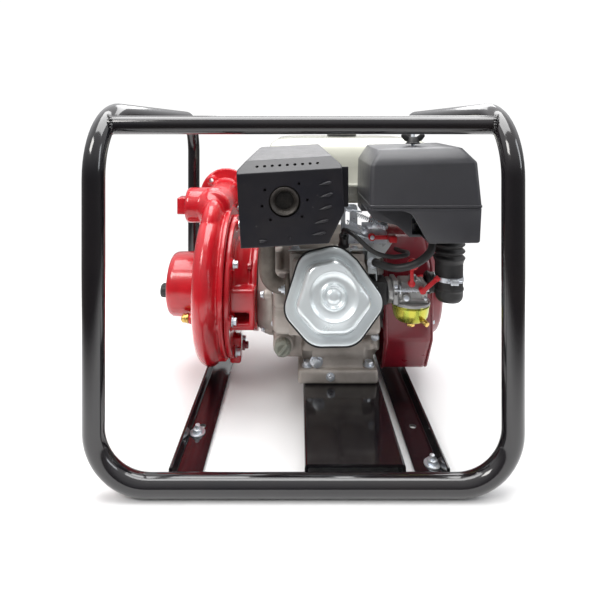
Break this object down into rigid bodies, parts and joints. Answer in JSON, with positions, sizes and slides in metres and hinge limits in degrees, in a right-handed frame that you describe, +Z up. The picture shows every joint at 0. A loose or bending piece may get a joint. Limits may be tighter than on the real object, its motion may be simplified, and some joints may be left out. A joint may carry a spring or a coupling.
{
  "type": "portable fire pump",
  "caption": "Petrol engine driving a close-coupled centrifugal fire pump, bolted on rails inside a tubular roll frame.",
  "frame": {"origin": "on the floor under the middle of the roll frame", "axes": "+Z up, +X from the pump towards the recoil starter, along the crankshaft, -Y towards the rocker cover"},
  "size_m": [0.558, 0.606, 0.5],
  "materials": {
    "frame_paint": "gloss black paint",
    "pump_paint": "cast, under gloss red paint",
    "housing_paint": "satin dark red paint",
    "cast_aluminium": "cast, grey",
    "cover_paint": "bright silver",
    "muffler_black": "satin black heat paint",
    "grey_plastic": "moulded, dark grey",
    "tank_paint": "pale silver-beige paint",
    "zinc": "zinc plated",
    "chromate": "yellow chromate",
    "brass": "machined",
    "bronze": "cast",
    "steel": "machined",
    "rubber": "black",
    "red_plastic": "moulded red",
    "ceramic": "white ceramic",
    "filter_paper": "pleated paper"
  },
  "bodies": {
    "engine_and_frame": {"front_frame_tube": "frame_paint", "rear_frame_tube": "frame_paint", "front_cross_bar": "frame_paint", "rear_cross_bar": "frame_paint", "left_rail": "frame_paint", "right_rail": "frame_paint", "engine_plate": "frame_paint", "volute_casing": "pump_paint", "discharge_plug": "pump_paint", "pump_adapter": "pump_paint", "drain_plug": "housing_paint", "priming_plug": "brass", "mechanical_seal": "steel", "crankcase": "cast_aluminium", "side_cover": "cast_aluminium", "cylinder_head": "cast_aluminium", "rocker_cover": "cover_paint", "rocker_gasket": "rubber", "cylinder_shroud": "cover_paint", "oil_drain_bolt": "zinc", "mount_bolt_1": "zinc", "mount_bolt_2": "zinc", "spark_plug": "ceramic", "plug_cap": "rubber", "ignition_lead": "rubber", "ignition_coil": "grey_plastic", "fan_housing": "housing_paint", "recoil_cover": "housing_paint", "muffler_heat_shield": "muffler_black", "muffler": "muffler_black", "exhaust_pipe": "steel", "fuel_tank": "tank_paint", "air_cleaner_base": "grey_plastic", "filter_element": "filter_paper", "intake_elbow": "rubber", "carburettor": "zinc", "carburettor_insulator": "rubber", "float_bowl": "chromate", "bowl_bolt": "zinc", "control_bracket": "zinc", "breather_hose": "rubber"},
    "shaft": {"crankshaft": "steel", "flywheel": "cast_aluminium", "impeller": "bronze"},
    "cam": {"camshaft": "steel"},
    "piston": {"piston": "cast_aluminium"},
    "grip": {"starter_grip": "rubber"},
    "pulley": {"recoil_pulley": "grey_plastic"},
    "throttle": {"throttle_lever": "red_plastic"},
    "governor": {"governor_arm": "zinc"},
    "choke": {"choke_lever": "red_plastic"},
    "fuel_valve": {"fuel_valve_lever": "red_plastic"},
    "stop": {"stop_switch": "red_plastic"},
    "fuel_cap": {"fuel_cap": "rubber"},
    "oil_cap": {"oil_filler_cap": "grey_plastic"},
    "filter_cover": {"air_cleaner_cover": "grey_plastic"},
    "nut": {"wing_nut": "rubber"},
    "flap": {"check_valve_flap": "rubber"},
    "inlet_plug": {"suction_plug": "rubber"}
  },
  "joints": [
    {"name": "shaft_spin", "type": "hinge", "parent": "engine_and_frame", "child": "shaft", "pos_m": [0, 0.02, 0.166], "axis": [1, 0, 0], "continuous": true},
    {"name": "cam_spin", "type": "hinge", "parent": "engine_and_frame", "child": "cam", "pos_m": [0, 0.02, 0.11], "axis": [1, 0, 0], "continuous": true},
    {"name": "piston_stroke", "type": "slide", "parent": "engine_and_frame", "child": "piston", "axis": [0, 0.9724, -0.2334], "range_m": [0, 0.064]},
    {"name": "starter_pull", "type": "slide", "parent": "engine_and_frame", "child": "grip", "axis": [0, 1, 0], "range_m": [0, 0.5], "stiffness_N_per_m": 30},
    {"name": "pulley_turn", "type": "hinge", "parent": "engine_and_frame", "child": "pulley", "pos_m": [0.2355, 0.02, 0.166], "axis": [-1, 0, 0], "range_deg": [0, 500]},
    {"name": "throttle_turn", "type": "hinge", "parent": "engine_and_frame", "child": "throttle", "pos_m": [0.112, -0.1255, 0.289], "axis": [0, 1, 0], "range_deg": [0, 30]},
    {"name": "governor_turn", "type": "hinge", "parent": "engine_and_frame", "child": "governor", "pos_m": [0.128, -0.04, 0.275], "axis": [0, 0, 1], "range_deg": [0, 15]},
    {"name": "choke_turn", "type": "hinge", "parent": "engine_and_frame", "child": "choke", "pos_m": [0.168, -0.158, 0.225], "axis": [0, -1, 0], "range_deg": [0, 70]},
    {"name": "fuel_valve_turn", "type": "hinge", "parent": "engine_and_frame", "child": "fuel_valve", "pos_m": [0.184, -0.158, 0.215], "axis": [0, -1, 0], "range_deg": [0, 45]},
    {"name": "stop_switch_turn", "type": "hinge", "parent": "engine_and_frame", "child": "stop", "pos_m": [0.2, -0.098, 0.206], "axis": [0, 1, 0], "range_deg": [0, 60]},
    {"name": "fuel_cap_turn", "type": "hinge", "parent": "engine_and_frame", "child": "fuel_cap", "pos_m": [0.085, 0.11, 0.45], "axis": [0, 0, 1], "range_deg": [0, 90]},
    {"name": "oil_cap_turn", "type": "hinge", "parent": "engine_and_frame", "child": "oil_cap", "pos_m": [-0.032, -0.095, 0.099], "axis": [0, -1, 0], "range_deg": [0, 360]},
    {"name": "filter_cover_lift", "type": "slide", "parent": "engine_and_frame", "child": "filter_cover", "axis": [0, 0, 1], "range_m": [0, 0.1]},
    {"name": "wing_nut_turn", "type": "hinge", "parent": "filter_cover", "child": "nut", "pos_m": [0.17, -0.1585, 0.448], "axis": [0, 0, 1], "continuous": true},
    {"name": "flap_swing", "type": "hinge", "parent": "engine_and_frame", "child": "flap", "pos_m": [-0.229, 0.02, 0.2065], "axis": [0, -1, 0], "range_deg": [0, 38]},
    {"name": "inlet_plug_pull", "type": "slide", "parent": "engine_and_frame", "child": "inlet_plug", "axis": [-1, 0, 0], "range_m": [0, 0.06]}
  ],
  "couplings": [
    {"joint": "cam_spin", "follows": "shaft_spin", "ratio": -0.5},
    {"joint": "pulley_turn", "follows": "starter_pull", "rad_per_m": 17.241},
    {"joint": "governor_turn", "follows": "throttle_turn", "ratio": 0.5}
  ]
}
